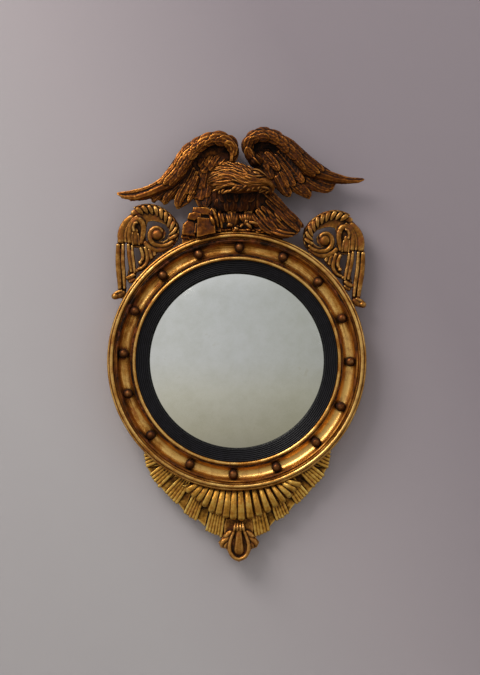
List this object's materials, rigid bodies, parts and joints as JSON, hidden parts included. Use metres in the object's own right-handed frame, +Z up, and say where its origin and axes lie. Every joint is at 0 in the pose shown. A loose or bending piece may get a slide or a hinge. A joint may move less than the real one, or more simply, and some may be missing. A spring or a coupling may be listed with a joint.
{
  "type": "convex girandole mirror",
  "caption": "Round convex wall mirror in a gilt ring with cove balls and a reeded black slip, an eagle crest, side scrolls, a fan apron and a rear hanging ring.",
  "frame": {"origin": "middle of the round frame on the wall plane, where the back ring bears on the wall", "axes": "+Z up, +X to the viewer's right, +Y into the wall; the mirror faces -Y"},
  "size_m": [0.5849, 0.114, 0.9825],
  "materials": {
    "gilt_wood": "carved pine, gessoed, water gilt over red bole and worn",
    "dark_gilt_wood": "carved pine, oil gilt, darkened and toned bronze-brown",
    "ebonised_wood": "turned and reeded, ebonised, polished",
    "pine": "planed and turned pine, bare, browned with age",
    "mirror_glass": "convex blown plate silvered on the back",
    "wrought_iron": "wrought iron, blacked and slightly rusted",
    "brass": "cast and rolled brass, tarnished",
    "screw_steel": "slotted woodscrews, oxidised"
  },
  "bodies": {
    "mirror": {"frame_ring": "gilt_wood", "back_ring": "pine", "ebonised_slip": "ebonised_wood", "mirror_plate": "mirror_glass", "glazing_blocks": "pine", "backboard_left": "pine", "backboard_right": "pine", "backboard_screws": "screw_steel", "ball_01": "dark_gilt_wood", "ball_02": "dark_gilt_wood", "ball_03": "dark_gilt_wood", "ball_04": "dark_gilt_wood", "ball_05": "dark_gilt_wood", "ball_06": "dark_gilt_wood", "ball_07": "dark_gilt_wood", "ball_08": "dark_gilt_wood", "ball_09": "dark_gilt_wood", "ball_10": "dark_gilt_wood", "ball_11": "dark_gilt_wood", "ball_12": "dark_gilt_wood", "ball_13": "dark_gilt_wood", "ball_14": "dark_gilt_wood", "ball_15": "dark_gilt_wood", "ball_16": "dark_gilt_wood", "crest_block": "dark_gilt_wood", "rockwork": "dark_gilt_wood", "eagle_body": "dark_gilt_wood", "eagle_head": "dark_gilt_wood", "left_wing": "dark_gilt_wood", "right_wing": "dark_gilt_wood", "eagle_tail": "dark_gilt_wood", "left_leg": "dark_gilt_wood", "right_leg": "dark_gilt_wood", "wing_dowels": "pine", "head_dowel": "pine", "tail_dowel": "pine", "left_scroll": "gilt_wood", "left_reeds": "gilt_wood", "right_scroll": "gilt_wood", "right_reeds": "gilt_wood", "scroll_dowels": "pine", "apron_board": "pine", "apron_rays_left": "gilt_wood", "apron_rays_right": "gilt_wood", "apron_fan": "gilt_wood", "apron_drop": "gilt_wood", "crest_strap_left": "wrought_iron", "crest_strap_right": "wrought_iron", "apron_strap_left": "wrought_iron", "apron_strap_right": "wrought_iron", "strap_screws": "screw_steel", "hanger_plate": "brass", "hanger_screws": "brass"},
    "ring": {"hanging_ring": "brass"}
  },
  "joints": [
    {"name": "hanging_ring_hinge", "type": "hinge", "parent": "mirror", "child": "ring", "pos_m": [0, -0.00852, 0.256], "axis": [1, 0, 0], "range_deg": [0, 180]}
  ]
}
